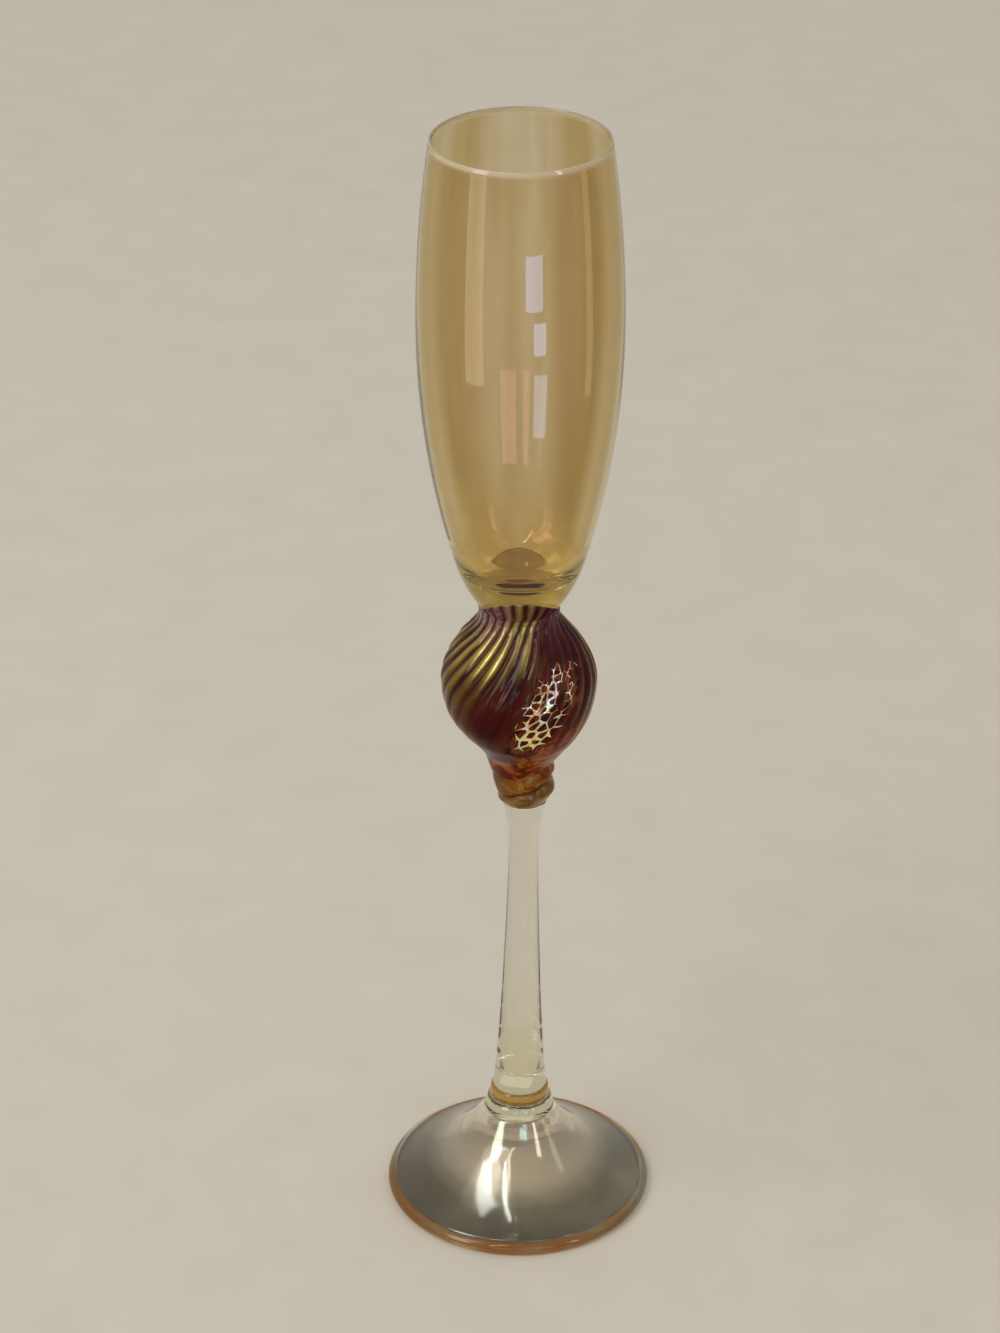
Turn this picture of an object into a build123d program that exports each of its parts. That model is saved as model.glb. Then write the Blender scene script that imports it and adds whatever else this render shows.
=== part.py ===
from build123d import *
import math
import os

os.makedirs("parts", exist_ok=True)

# Champagne flute in hand-blown glass, millimetres, +Z up.
# The origin is the centre of the foot's resting ring, on the table, and the front is -Y.

# Heights of the seams between the fused pieces, from the table up
BUTTON_BASE = 24.4
RING_BASE = 28.6
STEM_BASE = 32.0
CURL_BASE = 120.3
SHELL_BASE = 129.5
PAD_BASE = 174.5
BOWL_BASE = 184.0
RIM_HEIGHT = 300.0

# Size of the plain blocks that cut pieces, wider than the whole glass
CUTTER = 80.0

# Bowl
RIM_RADIUS = 21.7
BELLY_RADIUS = 25.25
BELLY_HEIGHT = 252.0
BELLY_ARC_BELOW = 220.0
BOWL_WALL = 1.3
HIP_HEIGHT = 189.2
FLOOR_HEIGHT = 187.2
FLOOR_EDGE_HEIGHT = 195.2

# Pad under the bowl, which sits in the shell's mouth
MOUTH_HEIGHT = 177.0
MOUTH_RADIUS = 9.7
PAD_CORE_RADIUS = 8.2

# Shell
SHELL_WALL = 1.8
SHELL_BELLY_RADIUS = 19.75
SHELL_BELLY_HEIGHT = 155.8
SHELL_SHOULDER_RADIUS = 15.6
SHELL_SHOULDER_HEIGHT = 166.8
SHELL_FLANK_HEIGHT = 141.4
SHELL_BASE_RADIUS = 7.2
NECK_RADIUS = 10.0
NECK_HEIGHT = 175.4
LIP_FLARE = 3.9
SHELL_FLOOR = 4.0
LIP_HEIGHT = 183.2
SADDLE_RADIUS = 17.0

# Leaf patch on the shell
LEAF_THICKNESS = 0.3
LEAF_LOW = 141.0
LEAF_HIGH = 167.0
LEAF_START = -80.0
LEAF_ANGLE = 50.0

# Fold and curl below the shell
FOLD_OFFSET = 1.2
FOLD_RADIUS = 7.9
FOLD_HEIGHT = 127.0
FOLD_LOW_RADIUS = 6.9
FOLD_LOW_HEIGHT = 123.5
CURL_RADIUS = 7.9
CURL_HEIGHT = 124.0
CURL_LOW_RADIUS = 6.95
CURL_LOW_HEIGHT = 122.0
CREASE_HEIGHT = 124.9
CREASE_SLOPE = 0.54

# Stem and what it stands on; its sizes between ends and waist are (height, radius)
STEM_TOP_RADIUS = 5.7
STEM_WAIST_RADIUS = 3.85
STEM_WAIST_HEIGHT = 104.0
STEM_BASE_RADIUS = 7.2
STEM_LEAN = 1.4 / CURL_BASE
STEM_LOWER = [(39.0, 6.41), (58.0, 5.32), (82.0, 4.33)]
STEM_UPPER = [(112.0, 4.12), (116.6, 4.9)]
RING_RADIUS = 7.8
BUTTON_RADIUS = 8.8
BUTTON_FOOT_RADIUS = 9.2

# Foot; single points of its outline are (radius, height)
FOOT_RADIUS = 35.2
FOOT_EDGE_RADIUS = 33.2
FOOT_EDGE_HEIGHT = 3.3
FOOT_SAG = 2.6
FOOT_WALL = 2.4
FOOT_DOME_HEIGHT = 19.4
FOOT_UNDERSIDE = [(8.28, 17.8), (18.5, 8.9)]
REST_RADIUS = 34.2
REST_INNER_RADIUS = 32.3
EDGE_HEIGHT = 1.5
EDGE_LOW = (34.95, 0.6)
EDGE_HIGH = (34.7, 2.7)


def lean(height):
    """Sideways place of the stem's axis: the rod leans a little to +X as it rises."""
    return STEM_LEAN * height


def belly_radius(height, wall=0.0):
    """Radius of the bowl's side: two arcs that meet upright at the belly."""
    rise = height - BELLY_HEIGHT
    rim_rise = RIM_HEIGHT - BELLY_HEIGHT
    rim_fall = BELLY_RADIUS - RIM_RADIUS
    above = (rim_rise**2 + rim_fall**2) / (2 * rim_fall)
    arc = above if rise > 0 else BELLY_ARC_BELOW
    return BELLY_RADIUS - arc + math.sqrt((arc - wall) ** 2 - rise**2)


def side_arc(low, high, wall=0.0):
    """The bowl's side from one height to another, within one of its two arcs."""
    middle = (low + high) / 2
    heights = (low, middle, high)
    return ThreePointArc(*[(belly_radius(z, wall), z) for z in heights])


HIP_RADIUS = belly_radius(HIP_HEIGHT)
HIP_TANGENT = (belly_radius(HIP_HEIGHT) - belly_radius(HIP_HEIGHT + 1), -1.0)


def base_arc():
    """The bowl's rounded base, from the hip down to the shell's mouth."""
    return TangentArc((HIP_RADIUS, HIP_HEIGHT), (MOUTH_RADIUS, MOUTH_HEIGHT), tangent=HIP_TANGENT)


# The bowl: a thin side on a thick rounded floor, with a fire-polished rim
with BuildPart() as bowl:
    with BuildSketch(Plane.XZ) as bowl_outline:
        with BuildLine():
            Polyline((0, FLOOR_HEIGHT), (0, MOUTH_HEIGHT), (MOUTH_RADIUS, MOUTH_HEIGHT))
            base_arc()
            side_arc(HIP_HEIGHT, BELLY_HEIGHT)
            side_arc(BELLY_HEIGHT, RIM_HEIGHT)
            rim_inner = (belly_radius(RIM_HEIGHT, BOWL_WALL), RIM_HEIGHT)
            Line((RIM_RADIUS, RIM_HEIGHT), rim_inner)
            side_arc(BELLY_HEIGHT, RIM_HEIGHT, BOWL_WALL)
            floor_edge = (belly_radius(FLOOR_EDGE_HEIGHT, BOWL_WALL), FLOOR_EDGE_HEIGHT)
            side_arc(FLOOR_EDGE_HEIGHT, BELLY_HEIGHT, BOWL_WALL)
            Spline(floor_edge, (0, FLOOR_HEIGHT), tangents=[(-0.28, -1), (-1, 0)])
        make_face()
        Rectangle(CUTTER, BOWL_BASE, align=(Align.CENTER, Align.MIN), mode=Mode.SUBTRACT)
        rim_corners = bowl_outline.vertices().group_by(Axis.Y)[-1]
        fillet(rim_corners, BOWL_WALL * 0.45)
    revolve(axis=Axis.Z)
bowl.part.label = "bowl"
export_step(bowl.part, "parts/bowl.step")

# The pad: the same outside curve carried on down, then a core that plugs the shell's mouth
with BuildPart() as bowl_pad:
    with BuildSketch(Plane.XZ):
        with BuildLine():
            Polyline((0, HIP_HEIGHT), (0, MOUTH_HEIGHT), (MOUTH_RADIUS, MOUTH_HEIGHT))
            base_arc()
            Line((HIP_RADIUS, HIP_HEIGHT), (0, HIP_HEIGHT))
        make_face()
        with Locations((0, BOWL_BASE)):
            Rectangle(CUTTER, CUTTER, align=(Align.CENTER, Align.MIN), mode=Mode.SUBTRACT)
        with Locations((0, PAD_BASE)):
            plug = MOUTH_HEIGHT - PAD_BASE
            Rectangle(PAD_CORE_RADIUS, plug, align=(Align.MIN, Align.MIN))
    revolve(axis=Axis.Z)
bowl_pad.part.label = "bowl_pad"
export_step(bowl_pad.part, "parts/bowl_pad.step")


def shell_side(swell=0.0):
    """The shell's side from its base to its neck, swollen by a thickness."""
    base = (SHELL_BASE_RADIUS + swell, SHELL_BASE)
    belly = (SHELL_BELLY_RADIUS + swell, SHELL_BELLY_HEIGHT)
    shoulder = (SHELL_SHOULDER_RADIUS + swell, SHELL_SHOULDER_HEIGHT)
    flank = (SHELL_SHOULDER_RADIUS + swell, SHELL_FLANK_HEIGHT)
    neck = (NECK_RADIUS + swell, NECK_HEIGHT)
    return Spline(base, flank, belly, shoulder, neck, tangents=[(0.55, 1), (0, 1)])


def shell_area(swell=0.0, floor=0.0):
    """Half section from the shell's side to its axis, swollen by a thickness, above a floor."""
    with BuildSketch(Plane.XZ) as area:
        with BuildLine():
            shell_side(swell)
            neck = (NECK_RADIUS + swell, NECK_HEIGHT)
            base = (SHELL_BASE_RADIUS + swell, SHELL_BASE)
            Polyline(neck, (0, NECK_HEIGHT), (0, SHELL_BASE), base)
        make_face()
        if floor > 0:
            with Locations((0, SHELL_BASE)):
                Rectangle(CUTTER, floor, align=(Align.CENTER, Align.MIN), mode=Mode.SUBTRACT)
    return area.sketch


# The shell: a bubble with a thick base and a mouth that hugs the pad, dipping at both sides
with BuildPart() as shell_body:
    revolve(shell_area(), axis=Axis.Z)
    with BuildSketch(Plane.XZ):
        with BuildLine():
            lip_outer = (MOUTH_RADIUS + LIP_FLARE, LIP_HEIGHT)
            Polyline((NECK_RADIUS, NECK_HEIGHT), (0, NECK_HEIGHT), (0, LIP_HEIGHT), lip_outer)
            TangentArc((NECK_RADIUS, NECK_HEIGHT), lip_outer, tangent=(0, 1))
        make_face()
    revolve(axis=Axis.Z)
    revolve(shell_area(-SHELL_WALL, SHELL_FLOOR), axis=Axis.Z, mode=Mode.SUBTRACT)
    add(bowl_pad.part, mode=Mode.SUBTRACT)
    with Locations((0, 0, MOUTH_HEIGHT + SADDLE_RADIUS)):
        Cylinder(SADDLE_RADIUS, CUTTER, rotation=(0, 90, 0), mode=Mode.SUBTRACT)
shell_body.part.label = "shell_body"
export_step(shell_body.part, "parts/shell_body.step")

# The leaf: a thin skin fused on the front right of the shell
with BuildPart() as leaf_patch:
    revolve(shell_area(LEAF_THICKNESS), axis=Axis.Z)
    revolve(shell_area(), axis=Axis.Z, mode=Mode.SUBTRACT)
    with BuildSketch(Plane.XY.offset(LEAF_LOW)):
        with BuildLine():
            leaf_left = PolarLine((0, 0), FOOT_RADIUS, LEAF_START)
            leaf_right = PolarLine((0, 0), FOOT_RADIUS, LEAF_START + LEAF_ANGLE)
            Line(leaf_left @ 1, leaf_right @ 1)
        make_face()
    extrude(amount=LEAF_HIGH - LEAF_LOW, mode=Mode.INTERSECT)
leaf_patch.part.label = "leaf_patch"
export_step(leaf_patch.part, "parts/leaf_patch.step")


def rounds(stations, axis_at):
    """Round sections through (height, radius) stations, each on an axis placed by height."""
    sections = []
    for height, radius in stations:
        with BuildSketch(Plane((axis_at(height), 0, height))) as section:
            Circle(radius)
        sections.append(section.sketch)
    return sections


def fold_axis(height):
    """The fold stands upright, over the top of the stem."""
    return FOLD_OFFSET


# Fold: amber tail of the shell, cut below by the sloping crease that its edge makes
crease = Plane(
    origin=(FOLD_OFFSET, 0, CREASE_HEIGHT),
    x_dir=(1, 0, CREASE_SLOPE),
    z_dir=(-CREASE_SLOPE, 0, 1),
)

with BuildPart() as shell_fold:
    stations = [
        (CURL_BASE, STEM_TOP_RADIUS),
        (FOLD_LOW_HEIGHT, FOLD_LOW_RADIUS),
        (FOLD_HEIGHT, FOLD_RADIUS),
        (SHELL_BASE, SHELL_BASE_RADIUS),
    ]
    loft(rounds(stations, fold_axis))
    split(bisect_by=crease, keep=Keep.TOP)
shell_fold.part.label = "shell_fold"
export_step(shell_fold.part, "parts/shell_fold.step")

# Curl: the lump that the fold's end makes, fullest low on the right
with BuildPart() as tail_curl:
    stations = [
        (CURL_BASE, STEM_TOP_RADIUS),
        (CURL_LOW_HEIGHT, CURL_LOW_RADIUS),
        (CURL_HEIGHT, CURL_RADIUS),
        (SHELL_BASE, SHELL_BASE_RADIUS),
    ]
    loft(rounds(stations, fold_axis))
    split(bisect_by=crease, keep=Keep.BOTTOM)
tail_curl.part.label = "tail_curl"
export_step(tail_curl.part, "parts/tail_curl.step")

# Stem: a solid drawn rod, slimmest near its top, flared into the shell's tail
with BuildPart() as stem:
    stations = [(STEM_BASE, STEM_BASE_RADIUS), *STEM_LOWER]
    stations += [(STEM_WAIST_HEIGHT, STEM_WAIST_RADIUS), *STEM_UPPER]
    stations += [(CURL_BASE, STEM_TOP_RADIUS)]
    loft(rounds(stations, lean))
stem.part.label = "stem"
export_step(stem.part, "parts/stem.step")

# Amber ring: a thin wafer between the stem and the button
with BuildPart() as amber_ring:
    loft(rounds([(RING_BASE, RING_RADIUS), (STEM_BASE, STEM_BASE_RADIUS)], lean))
amber_ring.part.label = "amber_ring"
export_step(amber_ring.part, "parts/amber_ring.step")

# Button: a pressed lump of clear glass that the stem stands on
with BuildPart() as foot_button:
    stations = [
        (BUTTON_BASE, BUTTON_FOOT_RADIUS),
        ((BUTTON_BASE + RING_BASE) / 2, BUTTON_RADIUS),
        (RING_BASE, RING_RADIUS),
    ]
    loft(rounds(stations, lean))
foot_button.part.label = "foot_button"
export_step(foot_button.part, "parts/foot_button.step")


def foot_arc(drop=0.0):
    """The foot's hollow slope, from the button down to the edge, or the same arc lowered."""
    top = (BUTTON_FOOT_RADIUS, BUTTON_BASE - drop)
    edge = (FOOT_EDGE_RADIUS, FOOT_EDGE_HEIGHT - drop)
    run = edge[0] - top[0]
    fall = top[1] - edge[1]
    length = math.hypot(run, fall)
    middle = ((top[0] + edge[0]) / 2, (top[1] + edge[1]) / 2)
    sagged = (middle[0] - FOOT_SAG * fall / length, middle[1] - FOOT_SAG * run / length)
    return ThreePointArc(top, sagged, edge)


# Foot: a blown cone, open underneath
with BuildPart() as foot:
    with BuildSketch(Plane.XZ):
        with BuildLine():
            foot_arc()
            top = (BUTTON_FOOT_RADIUS, BUTTON_BASE)
            dome = (0, FOOT_DOME_HEIGHT)
            underside_edge = (FOOT_EDGE_RADIUS, FOOT_EDGE_HEIGHT - FOOT_WALL)
            Polyline(top, (0, BUTTON_BASE), dome)
            Spline(dome, *FOOT_UNDERSIDE, underside_edge, tangents=[(1, 0), (1, -0.3)])
            Line(underside_edge, (FOOT_EDGE_RADIUS, FOOT_EDGE_HEIGHT))
        make_face()
    revolve(axis=Axis.Z)
foot.part.label = "foot"
export_step(foot.part, "parts/foot.step")

# Foot rim: an amber thread wrapped round the edge, with a flat ground ring to rest on
with BuildPart() as foot_rim:
    with BuildSketch(Plane.XZ):
        with BuildLine():
            inner_low = (REST_INNER_RADIUS, 0)
            rest = (REST_RADIUS, 0)
            edge = (FOOT_RADIUS, EDGE_HEIGHT)
            top = (FOOT_EDGE_RADIUS, FOOT_EDGE_HEIGHT)
            Line(inner_low, rest)
            ThreePointArc(rest, EDGE_LOW, edge)
            ThreePointArc(edge, EDGE_HIGH, top)
            Line(top, (FOOT_EDGE_RADIUS, FOOT_EDGE_HEIGHT - FOOT_WALL))
            Line((FOOT_EDGE_RADIUS, FOOT_EDGE_HEIGHT - FOOT_WALL), inner_low)
        make_face()
    revolve(axis=Axis.Z)
foot_rim.part.label = "foot_rim"
export_step(foot_rim.part, "parts/foot_rim.step")
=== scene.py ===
import math
import random

import bmesh
import bpy
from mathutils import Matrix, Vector, noise


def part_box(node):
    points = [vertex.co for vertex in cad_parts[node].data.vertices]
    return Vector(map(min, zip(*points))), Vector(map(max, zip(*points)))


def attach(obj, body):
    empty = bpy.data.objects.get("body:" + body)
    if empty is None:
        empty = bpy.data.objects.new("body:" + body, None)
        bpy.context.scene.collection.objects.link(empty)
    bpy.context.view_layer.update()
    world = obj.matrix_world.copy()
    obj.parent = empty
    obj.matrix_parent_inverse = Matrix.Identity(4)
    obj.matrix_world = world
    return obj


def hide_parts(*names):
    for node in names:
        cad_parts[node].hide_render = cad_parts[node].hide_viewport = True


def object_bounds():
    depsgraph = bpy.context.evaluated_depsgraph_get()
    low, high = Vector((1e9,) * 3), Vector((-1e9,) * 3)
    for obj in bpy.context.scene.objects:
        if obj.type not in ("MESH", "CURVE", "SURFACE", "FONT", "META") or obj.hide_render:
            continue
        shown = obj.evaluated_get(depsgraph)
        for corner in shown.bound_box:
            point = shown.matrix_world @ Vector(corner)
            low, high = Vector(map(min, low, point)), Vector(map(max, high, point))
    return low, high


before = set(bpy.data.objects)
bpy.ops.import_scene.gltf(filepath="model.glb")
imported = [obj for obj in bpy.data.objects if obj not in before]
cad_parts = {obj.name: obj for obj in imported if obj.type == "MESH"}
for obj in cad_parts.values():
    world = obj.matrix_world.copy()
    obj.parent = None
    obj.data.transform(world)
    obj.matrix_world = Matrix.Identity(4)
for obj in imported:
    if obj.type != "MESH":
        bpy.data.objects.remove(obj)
cad_low, cad_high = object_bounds()

MM = 0.001
HEIGHT = cad_high.z

# Seam heights and radii in millimetres, read from the CAD nodes
BOWL_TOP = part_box("bowl")[1].z / MM
PAD_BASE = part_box("bowl_pad")[0].z / MM
SHELL_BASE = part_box("shell_body")[0].z / MM
CURL_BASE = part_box("tail_curl")[0].z / MM
STEM_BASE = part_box("stem")[0].z / MM
RING_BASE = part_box("amber_ring")[0].z / MM
BUTTON_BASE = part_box("foot_button")[0].z / MM
FOOT_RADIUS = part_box("foot_rim")[1].x / MM
FOOT_EDGE_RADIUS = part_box("foot")[1].x / MM
BELLY_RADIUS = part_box("bowl")[1].x / MM

# Lengths below are in millimetres, unless a comment says otherwise.

# Bowl and pad
RIM_RADIUS = 21.7
BELLY_HEIGHT = 252.0
BELLY_ARC_BELOW = 220.0
BOWL_WALL = 1.3
RIM_WALL = 0.65
RIM_TAPER = 90.0
HIP_HEIGHT = 189.2
FLOOR_HEIGHT = 184.6
FLOOR_EDGE_HEIGHT = 196.0
FLOOR_POWER = 0.85
MOUTH_HEIGHT = 177.0
MOUTH_RADIUS = 9.7
PAD_CORE_RADIUS = 8.2

# Pairs of heights between which a material changes its tint, clearness or polish
BASE_TINT = (208.0, 180.0)
RIM_TINT = (298.0, 299.3)
RIM_CLOUD = (298.4, 299.2)
SHELL_POLISH = (150.0, 174.0)
LEAF_COOLS = (149.0, 157.0)
# The stem's olive below these heights is painted shade, standing for dark surroundings seen through the
# glass
STEM_PAINTED_SHADE = (62.0, 34.0)
# The foot's pale zone above these heights is a painted reflection of a pale wall
FOOT_PAINTED_REFLECTION = (7.5, 11.0)

# Shell; its side is given as (height, radius)
SHELL_SIDE = [
    (129.5, 7.2), (133.0, 9.4), (137.0, 12.35), (141.4, 15.6), (147.5, 18.4), (155.8, 19.75),
    (161.0, 18.75), (166.8, 15.6), (170.5, 12.6), (173.2, 10.65), (175.4, 10.0),
]
NECK_HEIGHT = 175.4
NECK_RADIUS = 10.0
SADDLE_RADIUS = 17.0
SADDLE_REACH = 13.9
LIP_THICKNESS = 0.55
CONTACT_RADIUS = 4.4
RIBS = 28
RIB_DEPTH = 0.62
TWIST = math.radians(60)
SHELL_OFFSET = -0.1
SHELL_SAG = 3.1

# Rows of the shell's lining that are bright gold, a painted reflection of light inside the pad; inside them
# is a dark disc of the contact radius
BRIGHT_LINING_ROWS = 12

# Leaf net
LEAF_LIFT = 0.05
LEAF_SEED = 11
LEAF_THINNEST = 0.09

# Fold and curl under the shell; their sides are given as (height, radius)
FOLD_TOP = 135.0
FOLD_SIDE = [
    (120.3, 5.8), (122.0, 6.3), (124.5, 7.3), (127.0, 7.95), (129.5, 7.75), (132.0, 7.2), (FOLD_TOP, 6.0),
]
CURL_SIDE = [
    (120.3, 5.7), (121.3, 6.5), (122.4, 7.2), (124.0, 7.95), (125.6, 7.7), (127.2, 6.9), (129.0, 5.6),
]
FOLD_OFFSET = 1.2
CREASE_HEIGHT = 124.9
CREASE_SLOPE = 0.54
CREASE_OVERLAP = 0.5
FOLD_CREASE_RADIUS = 6.9
CURL_CREASE_RADIUS = 6.6

# Stem, ring and button; the stem's side is given as (height, radius)
STEM_LEAN = 1.4 / CURL_BASE
STEM_SIDE = [
    (32.0, 7.2), (39.0, 6.4), (58.0, 5.32), (82.0, 4.38), (97.0, 3.95), (107.0, 3.9), (112.0, 4.15),
    (116.6, 4.9), (120.3, 5.75),
]
RING_RADIUS = 7.8
BUTTON_RADIUS = 9.15

# Foot; the hollow under it is given as (radius, height)
FOOT_THROAT_RADIUS = 9.2
FOOT_EDGE_HEIGHT = 3.3
FOOT_HOLLOW = [(0.0, 19.4), (8.3, 17.8), (14.2, 12.6), (19.0, 8.6), (25.0, 4.4)]
FOOT_EDGE_LOW = 0.9

# Segments round the wide turned pieces, and round the narrow ones and the lumps
WIDE_SEGMENTS = 192
NARROW_SEGMENTS = 128

# Half the floor's width in metres; the camera's lens in millimetres, its tilt down in degrees and its
# place in heights of the flute
FLOOR_SIZE = 30.0
CAMERA_LENS = 102.35
CAMERA_TILT = 29.11
CAMERA_PLACE = (-0.0163, -2.7797, 2.0772)

# Most bounces a light path may make, through glass as well
GLASS_BOUNCES = 32

# Seam left between two clear pieces, and overlap of an opaque piece with the clear one it is fused to
GAP = 0.02
FUSED = 0.05


# ---------------------------------------------------------------- small maths

def smooth(low, high, value):
    """0 below low, 1 above high, and a smooth step between them."""
    share = min(max((value - low) / (high - low), 0.0), 1.0)
    return share * share * (3 - 2 * share)


def curve_through(stations, value):
    """A smooth curve through (place, size) stations, flat beyond both ends."""
    if value <= stations[0][0]:
        return stations[0][1]
    if value >= stations[-1][0]:
        return stations[-1][1]
    last = len(stations) - 1
    i = next(k for k in range(last) if value <= stations[k + 1][0])
    x0, y0 = stations[i]
    x1, y1 = stations[i + 1]

    def slope(k):
        a = stations[max(k - 1, 0)]
        b = stations[min(k + 1, last)]
        return (b[1] - a[1]) / (b[0] - a[0])

    width = x1 - x0
    t = (value - x0) / width
    start, end = slope(i) * width, slope(i + 1) * width
    return (
        (2 * t**3 - 3 * t**2 + 1) * y0
        + (t**3 - 2 * t**2 + t) * start
        + (3 * t**2 - 2 * t**3) * y1
        + (t**3 - t**2) * end
    )


def steps(start, end, count):
    """Evenly spaced values from start to end, both included."""
    return [start + (end - start) * i / count for i in range(count + 1)]


def arc(start, direction, end, count):
    """Points of the arc that leaves start in a direction and reaches end."""
    p, q = Vector(start), Vector(end)
    d = Vector(direction).normalized()
    normal = Vector((-d.y, d.x))
    chord = q - p
    radius = chord.length_squared / (2 * chord.dot(normal))
    centre = p + normal * radius
    first = math.atan2(p.y - centre.y, p.x - centre.x)
    turn = 2 * math.asin(chord.dot(normal) / chord.length)
    size = abs(radius)
    points = []
    for i in range(count + 1):
        angle = first + turn * i / count
        points.append((centre.x + size * math.cos(angle), centre.y + size * math.sin(angle)))
    return points


# ---------------------------------------------------------------- mesh making

def make_object(name, verts, faces, material, nodes, attributes=()):
    """A smooth mesh piece in metres from millimetres, which rides on the root and replaces CAD nodes."""
    mesh = bpy.data.meshes.new(name)
    mesh.from_pydata([tuple(c * MM for c in v) for v in verts], [], faces)
    mesh.update()
    solid = bmesh.new()
    solid.from_mesh(mesh)
    bmesh.ops.recalc_face_normals(solid, faces=solid.faces)
    solid.to_mesh(mesh)
    solid.free()
    for label, kind, values in attributes:
        store = mesh.attributes.new(label, kind, "POINT")
        key = "vector" if kind == "FLOAT_VECTOR" else "value"
        flat = [c for v in values for c in v] if kind == "FLOAT_VECTOR" else values
        store.data.foreach_set(key, flat)
    mesh.polygons.foreach_set("use_smooth", [True] * len(mesh.polygons))
    mesh.materials.append(material)
    piece = bpy.data.objects.new(name, mesh)
    bpy.context.collection.objects.link(piece)
    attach(piece, "root")
    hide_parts(*nodes)
    return piece


def ring_mesh(rows, segments):
    """Vertices and faces of rings of points; a row of one point is a pole."""
    verts, starts = [], []
    for row in rows:
        starts.append((len(verts), len(row)))
        verts.extend(row)
    faces = []
    for (a, count_a), (b, count_b) in zip(starts, starts[1:]):
        for i in range(segments):
            j = (i + 1) % segments
            if count_a == 1:
                faces.append((a, b + j, b + i))
            elif count_b == 1:
                faces.append((a + i, a + j, b))
            else:
                faces.append((a + i, a + j, b + j, b + i))
    return verts, faces


def turned(profile, segments, axis=lambda z: 0.0):
    """Mesh of a (radius, height) profile turned about an upright axis whose X may shift with height."""
    rows = []
    for radius, z in profile:
        x = axis(z)
        if radius < 1e-6:
            rows.append([(x, 0.0, z)])
            continue
        row = []
        for i in range(segments):
            angle = 2 * math.pi * i / segments
            row.append((x + radius * math.cos(angle), radius * math.sin(angle), z))
        rows.append(row)
    return ring_mesh(rows, segments)


# ---------------------------------------------------------------- material helpers

class Nodes:
    """A material's node tree, with short calls for adding nodes and linking them."""

    def __init__(self, name):
        self.material = bpy.data.materials.new(name)
        self.material.use_nodes = True
        self.tree = self.material.node_tree
        self.shader = self.tree.nodes["Principled BSDF"]

    def add(self, kind, inputs=None, **settings):
        node = self.tree.nodes.new(kind)
        for key, value in settings.items():
            setattr(node, key, value)
        for key, value in (inputs or {}).items():
            self.join(value, node.inputs[key])
        return node

    def join(self, value, socket):
        if isinstance(value, bpy.types.NodeSocket):
            self.tree.links.new(value, socket)
        else:
            socket.default_value = value

    def set(self, **values):
        for key, value in values.items():
            self.join(value, self.shader.inputs[key.replace("_", " ")])

    def math(self, operation, a, b=0.0, c=0.0):
        return self.add("ShaderNodeMath", {0: a, 1: b, 2: c}, operation=operation).outputs[0]

    def attribute(self, name, output="Fac"):
        return self.add("ShaderNodeAttribute", attribute_name=name).outputs[output]

    def place(self):
        return self.add("ShaderNodeTexCoord").outputs["Object"]

    def scaled(self, vector, scale):
        return self.add("ShaderNodeMapping", {"Vector": vector, "Scale": scale}).outputs[0]

    def noise(self, vector, scale, detail=3.0, distortion=0.0):
        inputs = {"Vector": vector, "Scale": scale, "Detail": detail, "Distortion": distortion}
        return self.add("ShaderNodeTexNoise", inputs).outputs["Fac"]

    def ramp(self, factor, *stops):
        node = self.add("ShaderNodeValToRGB", {"Fac": factor})
        elements = node.color_ramp.elements
        while len(elements) < len(stops):
            elements.new(0.5)
        for element, (place, colour) in zip(elements, stops):
            element.position = place
            element.color = (*colour, 1.0)
        return node.outputs["Color"]

    def mix(self, factor, a, b):
        node = self.add("ShaderNodeMix", data_type="RGBA")
        self.join(factor, node.inputs[0])
        self.join(a if isinstance(a, bpy.types.NodeSocket) else (*a, 1.0), node.inputs[6])
        self.join(b if isinstance(b, bpy.types.NodeSocket) else (*b, 1.0), node.inputs[7])
        return node.outputs[2]

    def bump(self, height, distance, strength=1.0):
        inputs = {"Height": height, "Distance": distance, "Strength": strength}
        return self.add("ShaderNodeBump", inputs).outputs["Normal"]


def upright(nodes, low, high):
    """0 at one height of the object and 1 at another."""
    z = nodes.add("ShaderNodeSeparateXYZ", {0: nodes.place()}).outputs["Z"]
    inputs = {"Value": z, "From Min": low * MM, "From Max": high * MM}
    return nodes.add("ShaderNodeMapRange", inputs).outputs[0]


# ---------------------------------------------------------------- materials

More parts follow.
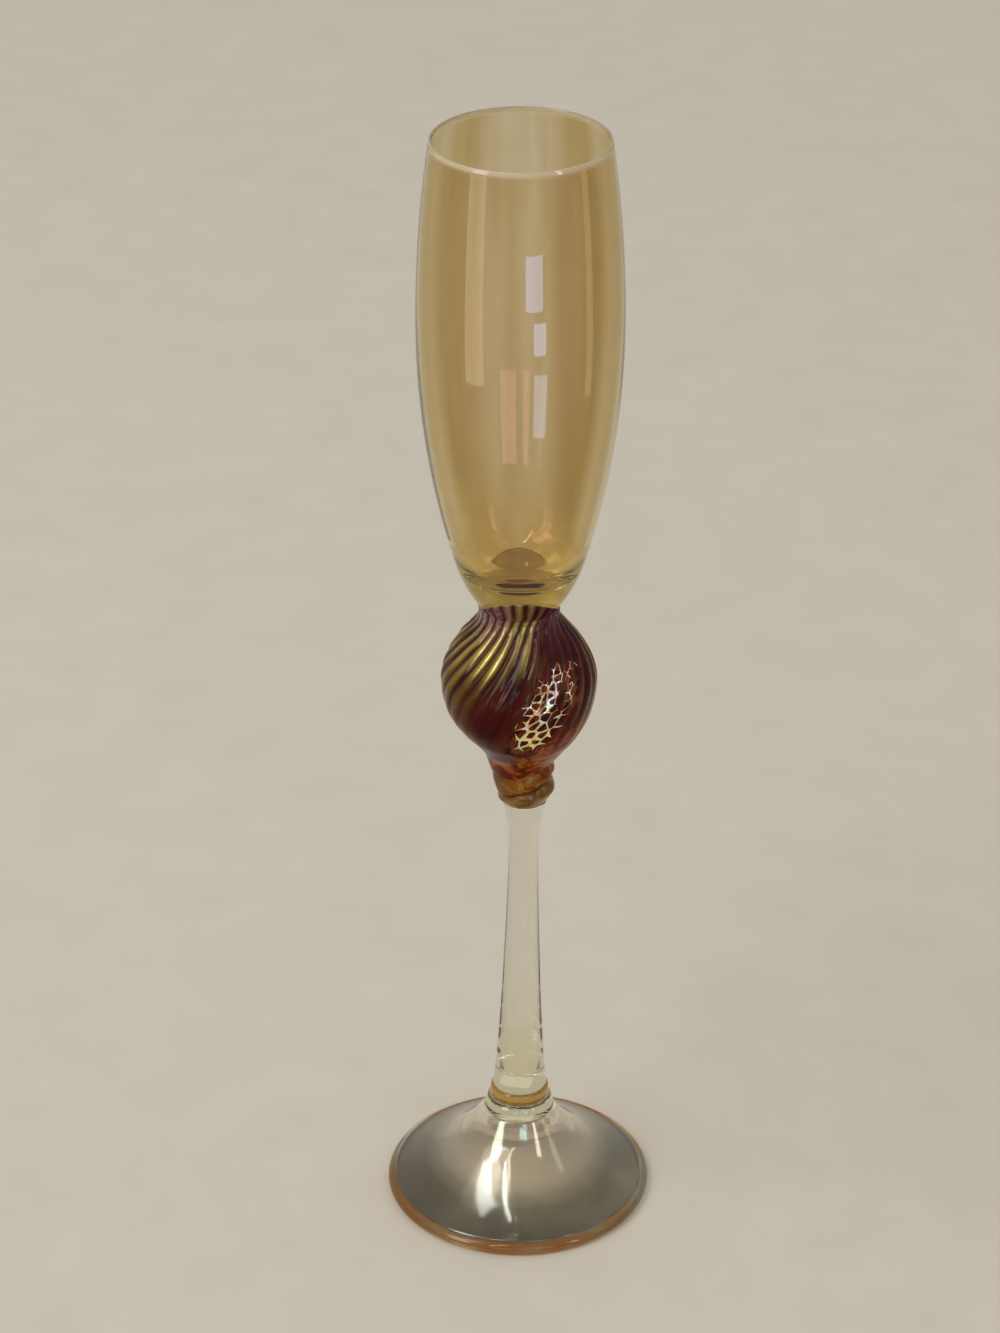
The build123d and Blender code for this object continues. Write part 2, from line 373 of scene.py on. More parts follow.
def bowl_material():
    """Amber lustre glass streaked along its height, with painted reflection by facing angle: pale in front,
    an ochre band of painted shade, and cream painted reflection at its edges.
    """
    n = Nodes("amber_lustre_glass")
    streaks = n.noise(n.scaled(n.place(), (110.0, 110.0, 5.0)), 1.0, 2.0, 0.3)
    pale = n.ramp(
        streaks, (0.32, (0.78, 0.66, 0.43)), (0.5, (0.85, 0.75, 0.53)), (0.68, (0.93, 0.86, 0.69)),
    )
    ochre = n.ramp(streaks, (0.35, (0.57, 0.43, 0.16)), (0.65, (0.68, 0.54, 0.24)))
    # The facing angle sets the tint: the ochre band is painted shade and the cream edges are painted
    # reflection of the surroundings
    facing = n.add("ShaderNodeLayerWeight", {"Blend": 0.5}).outputs["Facing"]
    ochre_shade_band = n.add("ShaderNodeMapRange", {"Value": facing, "From Min": 0.11, "From Max": 0.27}).outputs[0]
    cream_edge_reflection = n.add("ShaderNodeMapRange", {"Value": facing, "From Min": 0.38, "From Max": 0.50}).outputs[0]
    tint = n.mix(cream_edge_reflection, n.mix(ochre_shade_band, pale, ochre), (0.90, 0.81, 0.61))
    tint = n.mix(upright(n, *RIM_TINT), tint, (0.95, 0.88, 0.68))
    tint = n.mix(upright(n, *BASE_TINT), tint, (0.82, 0.66, 0.27))
    cloud = {"Value": upright(n, *RIM_CLOUD), "To Min": 1.0, "To Max": 0.58}
    clear = n.add("ShaderNodeMapRange", cloud).outputs[0]
    n.set(Base_Color=tint, Roughness=0.0, IOR=1.5, Transmission_Weight=clear)
    n.set(Thin_Film_Thickness=330.0, Thin_Film_IOR=1.62)
    n.set(Normal=n.bump(n.noise(n.scaled(n.place(), (60.0, 60.0, 14.0)), 1.0, 1.0), 0.0008, 0.22))
    return n.material


def clear_material():
    """Clear drawn glass with a faint warm cast and drawing lines, and an olive painted shade from the
    stem's foot down.
    """
    n = Nodes("clear_drawn_glass")
    lines = n.noise(n.scaled(n.place(), (500.0, 500.0, 10.0)), 1.0, 2.0)
    tint = n.ramp(lines, (0.3, (0.88, 0.88, 0.79)), (0.7, (0.93, 0.92, 0.85)))
    # Olive painted shade from the stem's foot down, standing for dark surroundings seen through the glass
    n.set(Base_Color=n.mix(upright(n, *STEM_PAINTED_SHADE), tint, (0.84, 0.80, 0.56)))
    n.set(Roughness=0.0, IOR=1.5, Transmission_Weight=1.0)
    n.set(Normal=n.bump(lines, 0.0002, 0.2))
    return n.material


def amber_material():
    """Amber glass of the ring between stem and button."""
    n = Nodes("amber_ring_glass")
    cloud = n.noise(n.place(), 300.0, 3.0)
    n.set(Base_Color=n.ramp(cloud, (0.3, (0.72, 0.42, 0.08)), (0.7, (0.85, 0.57, 0.16))))
    n.set(Roughness=0.03, IOR=1.5, Transmission_Weight=0.75)
    return n.material


def foot_material():
    """Smoky blown glass under a thin lustre, with a pale painted reflection near the button, and fine drawn
    cords.
    """
    n = Nodes("smoky_lustre_glass")
    smoke = n.noise(n.scaled(n.place(), (50.0, 50.0, 70.0)), 1.0, 4.0, 0.6)
    tint = n.ramp(smoke, (0.3, (0.28, 0.26, 0.185)), (0.5, (0.36, 0.335, 0.245)), (0.7, (0.46, 0.42, 0.30)))
    # Pale painted reflection of a wall on the foot's upper cone, near the button
    n.set(Base_Color=n.mix(upright(n, *FOOT_PAINTED_REFLECTION), tint, (0.93, 0.85, 0.70)))
    n.set(Roughness=0.09, IOR=1.5, Transmission_Weight=0.92, Metallic=0.10)
    n.set(Coat_Weight=0.6, Coat_Roughness=0.14)
    cords = n.noise(n.scaled(n.place(), (220.0, 60.0, 60.0)), 1.0, 1.0, 1.0)
    n.set(Normal=n.bump(cords, 0.0004, 0.14))
    return n.material


def rim_material():
    """Orange amber glass thread round the foot's edge, paler in places."""
    n = Nodes("orange_rim_glass")
    cloud = n.noise(n.place(), 45.0, 3.0, 0.5)
    n.set(Base_Color=n.ramp(
        cloud, (0.38, (0.97, 0.44, 0.10)), (0.5, (1.0, 0.70, 0.32)), (0.60, (1.0, 0.94, 0.76)),
    ))
    n.set(Roughness=0.02, IOR=1.45, Transmission_Weight=0.78)
    n.set(Normal=n.bump(n.noise(n.place(), 200.0, 2.0), 0.0002, 0.2))
    return n.material


def shell_material():
    """Dark iridescent lustre: maroon and olive ribs, gold on the upper crests that is partly the lustre's
    colour and partly painted highlight, violet painted sheen at the neck, and amber low on the right.
    """
    n = Nodes("iridescent_shell_glass")
    straight = n.attribute("straight", "Vector")
    crest = n.attribute("crest")
    fine = n.noise(n.scaled(straight, (1400.0, 1400.0, 60.0)), 1.0, 3.0)
    broad = n.noise(n.scaled(straight, (210.0, 210.0, 26.0)), 1.0, 2.0, 0.4)
    patches = n.noise(straight, 330.0, 3.0, 0.6)
    dark = n.ramp(
        broad, (0.32, (0.030, 0.0010, 0.0015)), (0.5, (0.070, 0.0015, 0.0015)),
        (0.70, (0.075, 0.022, 0.0015)),
    )
    olive = n.ramp(broad, (0.3, (0.095, 0.045, 0.003)), (0.6, (0.22, 0.145, 0.012)))
    # Gold on the upper crests is partly the lustre's colour and partly painted highlight
    gold = n.ramp(broad, (0.3, (0.72, 0.58, 0.10)), (0.55, (1.0, 0.92, 0.25)), (0.75, (0.88, 0.62, 0.36)))
    colour = n.mix(n.math("MULTIPLY", crest, n.attribute("olive")), dark, olive)
    colour = n.mix(n.math("MULTIPLY", n.math("POWER", crest, 1.6), n.attribute("gold")), colour, gold)
    # Violet on the neck's crests is painted sheen, standing for the lustre's pink and purple highlights
    violet = n.ramp(fine, (0.35, (0.10, 0.012, 0.07)), (0.65, (0.45, 0.16, 0.38)))
    colour = n.mix(n.math("MULTIPLY", crest, n.attribute("neck")), colour, violet)
    amber = n.ramp(
        patches, (0.30, (0.050, 0.008, 0.001)), (0.45, (0.17, 0.017, 0.002)),
        (0.56, (0.34, 0.085, 0.004)), (0.70, (0.32, 0.150, 0.012)),
    )
    colour = n.mix(n.attribute("amber"), colour, amber)
    cells = n.scaled(straight, (520.0, 520.0, 400.0))
    islands = n.add("ShaderNodeTexVoronoi", {"Vector": cells, "Scale": 1.0}, feature="F1").outputs["Color"]
    island = n.ramp(
        islands, (0.2, (0.020, 0.001, 0.004)), (0.5, (0.12, 0.009, 0.004)), (0.8, (0.20, 0.060, 0.006)),
    )
    colour = n.mix(n.attribute("net"), colour, island)
    # Bright gold lining under the pad is painted reflection, standing for light reflected inside the pad
    lining = n.ramp(patches, (0.3, (0.95, 0.74, 0.28)), (0.6, (1.0, 0.90, 0.48)))
    colour = n.mix(n.attribute("lining"), colour, lining)
    shine = n.math("MULTIPLY_ADD", n.attribute("gold"), 0.8, 0.05)
    rise = {"Value": upright(n, *SHELL_POLISH), "To Min": 0.02, "To Max": 0.45}
    polish = n.add("ShaderNodeMapRange", rise).outputs[0]
    n.set(Base_Color=colour, Roughness=0.2, Metallic=shine, IOR=1.16)
    n.set(Coat_Weight=polish, Coat_Roughness=0.04, Coat_IOR=1.45)
    n.set(Normal=n.bump(fine, 0.00015, 0.3))
    return n.material


def fold_material():
    """Amber-brown glass, redder in spots and darker towards the left edge."""
    n = Nodes("amber_brown_glass")
    patches = n.noise(n.scaled(n.place(), (1.0, 1.0, 1.5)), 300.0, 3.0, 1.2)
    amber = n.ramp(
        patches, (0.28, (0.10, 0.022, 0.003)), (0.42, (0.25, 0.050, 0.004)),
        (0.55, (0.30, 0.115, 0.010)), (0.70, (0.36, 0.20, 0.030)),
    )
    side = n.add("ShaderNodeSeparateXYZ", {0: n.place()}).outputs["X"]
    inputs = {"Value": side, "From Min": -6.6 * MM, "From Max": -2.5 * MM}
    left = n.add("ShaderNodeMapRange", inputs).outputs[0]
    n.set(Base_Color=n.mix(left, (0.10, 0.075, 0.025), amber), Roughness=0.12, IOR=1.18)
    n.set(Coat_Weight=0.12, Coat_Roughness=0.03)
    n.set(Normal=n.bump(patches, 0.0003, 0.35))
    return n.material


def curl_material():
    """Olive-amber glass of the curled lump, a little clearer than the fold."""
    n = Nodes("olive_amber_glass")
    patches = n.noise(n.scaled(n.place(), (1.0, 1.0, 1.4)), 260.0, 3.0, 1.0)
    amber = n.ramp(
        patches, (0.3, (0.10, 0.042, 0.003)), (0.5, (0.25, 0.105, 0.007)), (0.7, (0.38, 0.22, 0.03)),
    )
    n.set(Base_Color=amber, Roughness=0.05, IOR=1.3, Transmission_Weight=0.1)
    n.set(Coat_Weight=0.2, Coat_Roughness=0.03)
    n.set(Normal=n.bump(patches, 0.0003, 0.3))
    return n.material


def leaf_material():
    """Crackled metal leaf: pale gold low down, silver and copper towards the top."""
    n = Nodes("crackled_leaf")
    cloud = n.noise(n.place(), 420.0, 3.0, 0.8)
    warm = n.ramp(cloud, (0.3, (0.72, 0.52, 0.13)), (0.5, (0.97, 0.88, 0.44)), (0.72, (1.0, 0.97, 0.80)))
    cool = n.ramp(cloud, (0.32, (0.30, 0.09, 0.05)), (0.48, (0.62, 0.38, 0.20)), (0.62, (0.85, 0.84, 0.92)))
    n.set(Base_Color=n.mix(upright(n, *LEAF_COOLS), warm, cool))
    n.set(Metallic=0.9, Roughness=0.24)
    n.set(Normal=n.bump(cloud, 0.0002, 0.5))
    return n.material


# ---------------------------------------------------------------- bowl

def belly_radius(z, wall=0.0):
    """Radius of the bowl's side: two arcs that meet upright at the belly."""
    rise = z - BELLY_HEIGHT
    rim_rise = BOWL_TOP - BELLY_HEIGHT
    rim_fall = BELLY_RADIUS - RIM_RADIUS
    above = (rim_rise**2 + rim_fall**2) / (2 * rim_fall)
    radius = above if rise > 0 else BELLY_ARC_BELOW
    return BELLY_RADIUS - radius + math.sqrt((radius - wall) ** 2 - rise**2)


HIP = (belly_radius(HIP_HEIGHT), HIP_HEIGHT)
HIP_DOWN = (belly_radius(HIP_HEIGHT) - belly_radius(HIP_HEIGHT + 1), -1.0)
BASE_ARC = arc(HIP, HIP_DOWN, (MOUTH_RADIUS, MOUTH_HEIGHT), 24)


def base_radius(z):
    """Radius of the bowl's rounded base at a height."""
    if z <= MOUTH_HEIGHT:
        return MOUTH_RADIUS
    for (r0, z0), (r1, z1) in zip(BASE_ARC, BASE_ARC[1:]):
        if z1 <= z <= z0:
            return r1 + (r0 - r1) * (z - z1) / (z0 - z1)
    return belly_radius(z)


def bowl_profile():
    """Outside of pad and bowl, over the fire-polished rim, and down the inside to the floor."""
    core = [(0, PAD_BASE), (PAD_CORE_RADIUS * 0.5, PAD_BASE), (PAD_CORE_RADIUS - 0.3, PAD_BASE)]
    core += [(PAD_CORE_RADIUS - FUSED, PAD_BASE + 0.3), (PAD_CORE_RADIUS - FUSED, MOUTH_HEIGHT - 0.6)]
    base = list(reversed(BASE_ARC))
    side = [(belly_radius(z), z) for z in steps(HIP_HEIGHT, BOWL_TOP - RIM_WALL / 2, 90)][1:]
    middle = (belly_radius(BOWL_TOP) - RIM_WALL / 2, BOWL_TOP - RIM_WALL / 2)
    rim = [
        (middle[0] + RIM_WALL / 2 * math.cos(a), middle[1] + RIM_WALL / 2 * math.sin(a))
        for a in steps(0, math.pi, 12)
    ][1:-1]
    inside = [
        (belly_radius(z, RIM_WALL + (BOWL_WALL - RIM_WALL) * smooth(BOWL_TOP, BOWL_TOP - RIM_TAPER, z)), z)
        for z in steps(BOWL_TOP - RIM_WALL / 2, FLOOR_EDGE_HEIGHT, 90)
    ]
    reach, drop = inside[-1][0], FLOOR_EDGE_HEIGHT - FLOOR_HEIGHT
    floor = [
        (reach * math.cos(a) ** FLOOR_POWER, FLOOR_EDGE_HEIGHT - drop * math.sin(a) ** FLOOR_POWER)
        for a in steps(0, math.pi / 2, 48)
    ][1:]
    floor[-1] = (0, FLOOR_HEIGHT)
    return core + base + side + rim + inside + floor


def make_bowl():
    verts, faces = turned(bowl_profile(), WIDE_SEGMENTS)
    return make_object("bowl_and_pad", verts, faces, bowl_material(), ["bowl", "bowl_pad"])


# ---------------------------------------------------------------- shell

def twist_at(z):
    """How far the ribs have turned at a height, from the mouth down."""
    down = (MOUTH_HEIGHT + 1 - z) / (MOUTH_HEIGHT + 1 - SHELL_BASE)
    down = min(max(down, 0.0), 1.0)
    return -TWIST * (1 - (1 - down) ** 1.8)


def lip_height(angle):
    """The mouth's edge dips at both sides, where a lying cylinder cuts it."""
    side = SADDLE_REACH * math.sin(angle)
    return MOUTH_HEIGHT + SADDLE_RADIUS - math.sqrt(SADDLE_RADIUS**2 - side**2)


def shell_point(angle, z, lift=0.0):
    """A point on the ribbed outside of the shell; angle is measured from +X."""
    base = curve_through(SHELL_SIDE, z)
    if z > NECK_HEIGHT:
        base = max(NECK_RADIUS + 0.05, base_radius(z) + LIP_THICKNESS)
    phase = RIBS * (angle - twist_at(z))
    wander = noise.noise((3 * math.cos(angle), 3 * math.sin(angle), z * 0.05))
    rise = (0.5 + 0.5 * math.cos(phase + 0.8 * wander)) ** 0.7
    fade = smooth(SHELL_BASE + 4, SHELL_BASE + 30, z) * (0.35 + 0.65 * smooth(150, 168, z))
    depth = RIB_DEPTH * fade * (1 - 0.62 * smooth(170.5, 175, z)) * (1 + 0.5 * wander)
    radius = base - depth * (1 - rise) + lift
    left = (0.5 - 0.5 * math.cos(angle)) ** 1.5
    sag = SHELL_SAG * left * smooth(153, 134, z) * smooth(SHELL_BASE - 1, 133, z)
    return SHELL_OFFSET + radius * math.cos(angle), radius * math.sin(angle), z + sag


def across_of(angle):
    """Degrees round from the front, positive towards the right."""
    return (math.degrees(angle) + 270) % 360 - 180


def band(value, low, high, soft):
    """1 between two values, fading to 0 over a soft edge outside them."""
    return smooth(low - soft, low, value) * (1 - smooth(high, high + soft, value))


def shell_masks(angle, z):
    """How much gold, olive, violet, amber and leaf there is at a place on the shell; the gold is partly
    painted highlight and the neck's violet is painted sheen.
    """
    turn = (across_of(angle) - math.degrees(twist_at(z)) + 180) % 360 - 180
    patch = noise.noise((2.2 * math.cos(angle), 2.2 * math.sin(angle), z * 0.11))
    rib = round(RIBS * turn / 360) % RIBS
    patch += 0.5 * noise.noise((rib * 3.7, 0.5, 0.5))
    front = band(turn, -62, 18, 22)
    back = band(abs(turn), 128, 180, 20)
    # Gold mask: partly the lustre's colour and partly painted highlight, strongest on the upper front-left
    # crests
    gold = max(front, 0.8 * back) * smooth(160, 171, z) * (0.75 + 1.1 * patch)
    gold *= 1 - 0.65 * smooth(174, 178, z)
    olive = max(band(turn, -80, -8, 25), back) * (0.48 + 0.5 * smooth(148, 164, z)) * (0.9 + 0.9 * patch)
    # Neck mask: violet painted sheen on the neck's crests
    neck = smooth(167, 175, z) * (0.15 + 0.85 * band(turn, -70, -20, 18)) * (0.8 + 1.2 * patch)
    amber = smooth(154, 141, z) * band(turn, 58 - 50 * smooth(138, 131, z), 150, 14)
    net = band(turn, 46, 68 + 22 * smooth(144, 160, z), 7) * band(z, 144, 161, 8)
    return [min(max(v, 0.0), 1.0) for v in (gold, olive, neck, amber, net * 0.85)]


def shell_places(angles):
    """Rows of (angle, height) up the outside of the shell, the last ones following the lip's edge."""
    places = []
    for share in steps(0, 1, 130):
        z = SHELL_BASE + (NECK_HEIGHT - SHELL_BASE) * share
        places.append([(a, z) for a in angles])
    for share in steps(0, 1, 16)[1:]:
        places.append([(a, NECK_HEIGHT + share * (lip_height(a) - NECK_HEIGHT)) for a in angles])
    return places


def shell_lining(angles):
    """Rows down the inside of the lip and round the pad's core, to a dark disc under the pad."""
    rows = []
    for share in steps(1, 0, 8):
        row = []
        for a in angles:
            z = MOUTH_HEIGHT - 0.6 + share * (lip_height(a) - MOUTH_HEIGHT + 0.55)
            r = base_radius(z) - FUSED
            row.append((r * math.cos(a), r * math.sin(a), z))
        rows.append(row)
    core = PAD_CORE_RADIUS - 2 * FUSED
    floor = PAD_BASE + FUSED
    outline = [(core, MOUTH_HEIGHT - 0.8), (core, floor)]
    outline += [(CONTACT_RADIUS + 0.4, floor), (CONTACT_RADIUS, floor)]
    for r, z in outline:
        rows.append([(r * math.cos(a), r * math.sin(a), z) for a in angles])
    rows.append([(0.0, 0.0, floor)])
    return rows


def shell_attributes(places, verts, lining):
    """Colour masks, rib crests and untwisted positions, for every vertex of the shell."""
    outside = [(0.0, SHELL_BASE)] + [place for row in places for place in row]
    bright_lining_points = sum(len(row) for row in lining[:BRIGHT_LINING_ROWS])
    masks = [shell_masks(a, z) + [0.0] for a, z in outside]
    # The bright gold lining rows are a painted reflection of light inside the pad
    masks += [[0.0] * 5 + [1.0]] * bright_lining_points
    masks += [[0.0] * 6] * (len(verts) - len(masks))
    marks = outside + [(0.0, MOUTH_HEIGHT)] * (len(verts) - len(outside))
    crest, straight = [], []
    for (a, z), (x, y, _) in zip(marks, verts):
        turn = a - twist_at(z)
        radius = math.hypot(x, y)
        crest.append(0.5 + 0.5 * math.cos(RIBS * turn))
        straight.append((radius * math.cos(turn) * MM, radius * math.sin(turn) * MM, z * MM))
    labels = ("gold", "olive", "neck", "amber", "net", "lining")
    attributes = [(label, "FLOAT", [m[k] for m in masks]) for k, label in enumerate(labels)]
    return attributes + [("crest", "FLOAT", crest), ("straight", "FLOAT_VECTOR", straight)]


def make_shell():
    segments = RIBS * 14
    angles = [2 * math.pi * i / segments for i in range(segments)]
    places = shell_places(angles)
    lining = shell_lining(angles)
    rows = [[(SHELL_OFFSET, 0.0, SHELL_BASE)]]
    rows += [[shell_point(a, z) for a, z in row] for row in places]
    verts, faces = ring_mesh(rows + lining, segments)
    attributes = shell_attributes(places, verts, lining)
    nodes = ["shell_body"]
    return make_object("shell_body_glass", verts, faces, shell_material(), nodes, attributes)


# ---------------------------------------------------------------- leaf

def leaf_seeds(rng):
    """Centres of the dark cells, in (turn degrees, height), smaller and flatter towards the top."""
    seeds = []
    z = 138.0
    while z < 174:
        pitch = 2.9 - 1.3 * smooth(146, 160, z)
        turn = 20 + rng.uniform(0, 8)
        while turn < 112:
            seeds.append((turn + rng.uniform(-2.6, 2.6), z + rng.uniform(-0.35, 0.35) * pitch))
            turn += 9.5 - 3.0 * smooth(146, 160, z)
        z += pitch
    return seeds


def leaf_kept(seeds, turn, z):
    """Whether leaf is left at a place: it is if the wall between two dark cells is near enough."""
    near = [seed for seed in seeds if abs(seed[1] - z) < 4.5 and abs(seed[0] - turn) < 20]
    places = sorted(math.hypot((turn - s) * 0.27, (z - t) * 0.8) for s, t in near)[:2]
    wall = places[1] - places[0]
    centre = 61 + 2 * smooth(150, 166, z)
    reach = 13 + 15 * smooth(144, 158, z)
    off = abs(turn - centre) / reach + 0.35 * noise.noise((turn * 0.06, z * 0.2, 3.0))
    ends = smooth(142.3, 145.2, z) * (1 - smooth(165, 169, z))
    bold = 1 - smooth(147, 155, z)
    width = (0.11 + 0.46 * bold) * (1 - smooth(0.5, 1.1, off)) * ends
    width += 0.30 * band(turn, 50, 60, 6) * band(z, 150, 161, 4)
    blot = (0.34 + 0.30 * bold) * noise.noise((turn * 0.11, z * 0.38, 0.0))
    blot *= (1 - smooth(0.3, 0.9, off)) * ends
    return wall < width + blot and width + blot > LEAF_THINNEST


def make_leaf():
    """A net of leaf left between dark cells, cut out of a fine grid that lies on the shell."""
    seeds = leaf_seeds(random.Random(LEAF_SEED))
    columns, rows_up = 300, 320
    turns = steps(26, 108, columns)
    heights = steps(139, 171, rows_up)
    index, verts, faces = {}, [], []

    def vertex(i, j):
        if (i, j) not in index:
            z = heights[j]
            angle = math.radians(turns[i] - 90) + twist_at(z)
            index[i, j] = len(verts)
            verts.append(shell_point(angle, z, LEAF_LIFT))
        return index[i, j]

    for i in range(columns):
        for j in range(rows_up):
            if leaf_kept(seeds, turns[i], heights[j]):
                faces.append((vertex(i, j), vertex(i + 1, j), vertex(i + 1, j + 1), vertex(i, j + 1)))
    return make_object("leaf_net", verts, faces, leaf_material(), ["leaf_patch"])


# ---------------------------------------------------------------- fold and curl

def crease_at(angle, radius):
    """Height of the sloping crease between fold and curl, on a circle about the fold's axis."""
    return CREASE_HEIGHT + CREASE_SLOPE * radius * math.cos(angle)


def lump(stations, start, ends, tuck_size):
    """Mesh of a rounded lump about the fold's axis, from a flat end to one that follows the crease."""
    segments = NARROW_SEGMENTS
    rows = [[(FOLD_OFFSET, 0.0, start)]]
    for share in steps(0, 1, 48):
        row = []
        for i in range(segments):
            a = 2 * math.pi * i / segments
            z = start + share * (ends(a) - start)
            tuck = tuck_size * smooth(0.8, 1.0, share) ** 2
            wave = 0.22 * noise.noise((1.4 * math.cos(a), 1.4 * math.sin(a), z * 0.25))
            r = curve_through(stations, z) - tuck + wave * smooth(0.0, 0.15, share)
            row.append((FOLD_OFFSET + r * math.cos(a), r * math.sin(a), z))
        rows.append(row)
    rows.append([(FOLD_OFFSET, 0.0, ends(math.pi / 2))])
    return ring_mesh(rows, segments)


def make_fold():
    verts, faces = lump(FOLD_SIDE, FOLD_TOP, lambda a: crease_at(a, FOLD_CREASE_RADIUS), 1.0)
    return make_object("fold_lobe", verts, faces, fold_material(), ["shell_fold"])


def make_curl():
    def top(angle):
        return crease_at(angle, CURL_CREASE_RADIUS) + CREASE_OVERLAP

    verts, faces = lump(CURL_SIDE, CURL_BASE, top, 0.6)
    return make_object("curl_lobe", verts, faces, curl_material(), ["tail_curl"])


# ---------------------------------------------------------------- stem, ring, button

def lean(z):
    """Sideways place of the stem's axis."""
    return STEM_LEAN * z


def make_stem():
    low, high = STEM_BASE + GAP, CURL_BASE + FUSED
    profile = [(0, low), (6.9, low), (7.15, low + 0.1)]
    profile += [(curve_through(STEM_SIDE, z), z) for z in steps(low + 0.3, high - 0.2, 150)]
    profile += [(5.5, high), (0, high)]
    verts, faces = turned(profile, NARROW_SEGMENTS, lean)
    return make_object("stem_rod", verts, faces, clear_material(), ["stem"])


def make_ring():
    low, high = RING_BASE + GAP, STEM_BASE - GAP
    profile = [(0, low), (7.3, low), (7.65, low + 0.25), (RING_RADIUS, low + 0.8), (7.6, high - 0.7)]
    profile += [(7.3, high - 0.15), (7.0, high), (0, high)]
    verts, faces = turned(profile, NARROW_SEGMENTS, lean)
    return make_object("ring_wafer", verts, faces, amber_material(), ["amber_ring"])


def make_button():
    low, high = BUTTON_BASE + GAP, RING_BASE - GAP
    profile = [(0, low), (8.9, low), (BUTTON_RADIUS, low + 0.25), (9.0, low + 1.2), (8.75, low + 2.3)]
    profile += [(8.3, high - 0.6), (7.7, high - 0.1), (7.3, high), (0, high)]
    verts, faces = turned(profile, NARROW_SEGMENTS, lean)
    return make_object("button_lump", verts, faces, clear_material(), ["foot_button"])


# ---------------------------------------------------------------- foot

def make_foot():
    edge_radius = FOOT_EDGE_RADIUS - GAP
    upper = arc((FOOT_THROAT_RADIUS, BUTTON_BASE), (0.50, -0.86), (edge_radius, FOOT_EDGE_HEIGHT), 60)
    hollow = FOOT_HOLLOW + [(edge_radius, FOOT_EDGE_LOW)]
    below = [(r, curve_through(hollow, r)) for r in steps(edge_radius, 0, 70)]
    profile = [(0, BUTTON_BASE)] + upper + below[:-1] + [(0, below[-1][1])]
    verts, faces = turned(profile, WIDE_SEGMENTS)
    return make_object("foot_cone", verts, faces, foot_material(), ["foot"])


def make_rim():
    """The thread is a closed ring, so its last row of points joins the first."""
    segments = WIDE_SEGMENTS
    outline = [
        (FOOT_EDGE_RADIUS - 0.9, 0.0), (34.2, 0.0), (34.75, 0.3), (35.1, 0.85), (FOOT_RADIUS, 1.5),
        (35.0, 2.25), (34.45, 2.85), (33.8, 3.15), (FOOT_EDGE_RADIUS, FOOT_EDGE_HEIGHT),
        (FOOT_EDGE_RADIUS, FOOT_EDGE_LOW),
    ]
    verts, faces = turned(outline, segments)
    last = (len(outline) - 1) * segments
    for i in range(segments):
        j = (i + 1) % segments
        faces.append((last + i, last + j, j, i))
    return make_object("foot_rim_thread", verts, faces, rim_material(), ["foot_rim"])


# ---------------------------------------------------------------- studio

def make_floor():
    size = FLOOR_SIZE
    corners = [(-size, -size, 0), (size, -size, 0), (size, size, 0), (-size, size, 0)]
    mesh = bpy.data.meshes.new("floor")
    mesh.from_pydata(corners, [], [(0, 1, 2, 3)])
    n = Nodes("pale_floor")
    mottle = n.noise(n.place(), 40.0, 2.0)
    n.set(Base_Color=n.ramp(mottle, (0.3, (0.77, 0.73, 0.645)), (0.7, (0.80, 0.76, 0.68))))
    n.set(Roughness=0.9, Specular_IOR_Level=0.0)
    mesh.materials.append(n.material)
    floor = bpy.data.objects.new("floor", mesh)
    bpy.context.collection.objects.link(floor)


def softbox(name, place, aim, width, height, power, colour):
    """A rectangular light in metres and watts, turned to its aim."""
    light = bpy.data.lights.new(name, "AREA")
    light.shape = "RECTANGLE"
    light.size = width
    light.size_y = height
    light.energy = power
    light.color = colour
    lamp = bpy.data.objects.new(name, light)
    bpy.context.collection.objects.link(lamp)
    lamp.location = place
    lamp.rotation_euler = (Vector(aim) - Vector(place)).to_track_quat("-Z", "Y").to_euler()
    return lamp


def card(name, azimuth, width, low, high, glow, colour):
    """
    An upright light near the glass that only shows as a reflection. Azimuth and width are in degrees,
    and low and high are shares of the flute's height.
    """
    angle = math.radians(azimuth - 90)
    across, tall = HEIGHT * math.radians(width), HEIGHT * (high - low)
    place = (HEIGHT * math.cos(angle), HEIGHT * math.sin(angle), HEIGHT * (low + high) / 2)
    lamp = softbox(name, place, (0, 0, place[2]), across, tall, glow * math.pi * across * tall, colour)
    lamp.visible_diffuse = False
    lamp.visible_transmission = False
    lamp.visible_camera = False


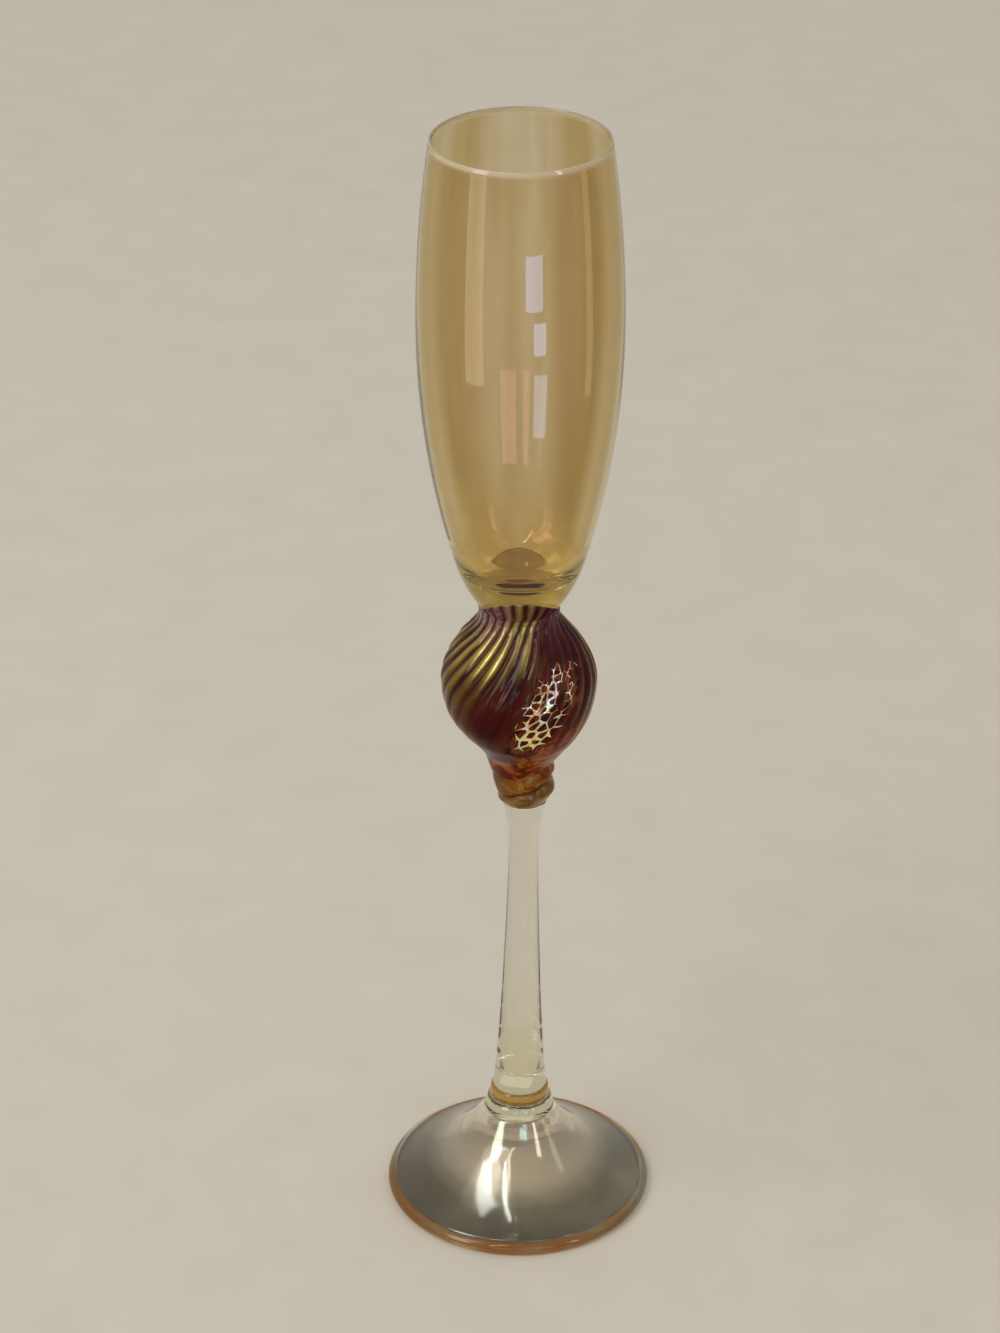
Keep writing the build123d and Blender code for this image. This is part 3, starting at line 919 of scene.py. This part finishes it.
def make_studio():
    """An even room with lamps, windows that light no matt surface, and cards near the flute."""
    make_floor()
    world = bpy.data.worlds.new("studio")
    bpy.context.scene.world = world
    world.use_nodes = True
    background = world.node_tree.nodes["Background"]
    background.inputs["Color"].default_value = (1.0, 0.95, 0.87, 1.0)
    background.inputs["Strength"].default_value = 0.50
    middle = (0.0, 0.0, HEIGHT * 0.5)
    softbox("key", (-1.0, -0.5, 1.5), middle, 1.3, 1.1, 9.5, (1.0, 0.97, 0.92)).visible_glossy = False
    shine = softbox("key_strip", (-0.90, -0.45, 1.45), middle, 0.42, 1.0, 6.0, (0.84, 0.92, 1.0))
    shine.visible_diffuse = False
    softbox("back", (0.3, 1.4, 1.5), (0, 0.3, 0), 2.4, 1.6, 2.0, (1.0, 0.97, 0.93))
    windows = [
        softbox("strip_overhead", (-0.28, -0.55, 1.25), middle, 0.05, 0.9, 1.6, (0.90, 0.95, 1.0)),
        softbox("window_left", (-1.4, -1.15, 0.95), (0, 0, 0.2), 0.60, 1.1, 8.0, (0.86, 0.93, 1.0)),
        softbox("window_right", (1.4, -1.3, 0.95), (0, 0, 0.2), 0.25, 1.1, 4.0, (1.0, 0.93, 0.84)),
    ]
    for window in windows:
        window.visible_diffuse = False
    card("card_cream", -50, 20, 0.35, 0.95, 1.8, (0.72, 1.0, 0.50))
    card("card_peach", -13, 17, 0.01, 0.42, 1.3, (1.0, 0.82, 0.62))
    card("card_rose", 6, 6, 0.01, 0.42, 1.3, (1.0, 0.78, 0.60))
    card("pane_high", 14, 18, 0.58, 0.72, 3.6, (0.42, 0.90, 1.0))
    card("pane_middle", 20, 13, 0.46, 0.55, 4.2, (0.42, 0.90, 1.0))
    card("pane_low", 21, 14, 0.14, 0.40, 3.0, (0.46, 0.90, 1.0))
    card("card_side", 78, 9, 0.30, 0.90, 0.9, (0.95, 1.0, 0.74))


def make_camera():
    """A view of the whole flute from its front and above."""
    camera = bpy.data.cameras.new("camera")
    camera.sensor_width = 36.0
    camera.lens = CAMERA_LENS
    camera.clip_start = 0.01
    rig = bpy.data.objects.new("camera", camera)
    bpy.context.collection.objects.link(rig)
    rig.location = [share * HEIGHT for share in CAMERA_PLACE]
    rig.rotation_euler = (math.radians(90 - CAMERA_TILT), 0.0, 0.0)
    bpy.context.scene.camera = rig


scene = bpy.context.scene
scene.view_settings.view_transform = "Standard"
scene.cycles.max_bounces = GLASS_BOUNCES
scene.cycles.transmission_bounces = GLASS_BOUNCES
make_camera()
make_bowl()
make_shell()
make_leaf()
make_fold()
make_curl()
make_stem()
make_ring()
make_button()
make_foot()
make_rim()
make_studio()
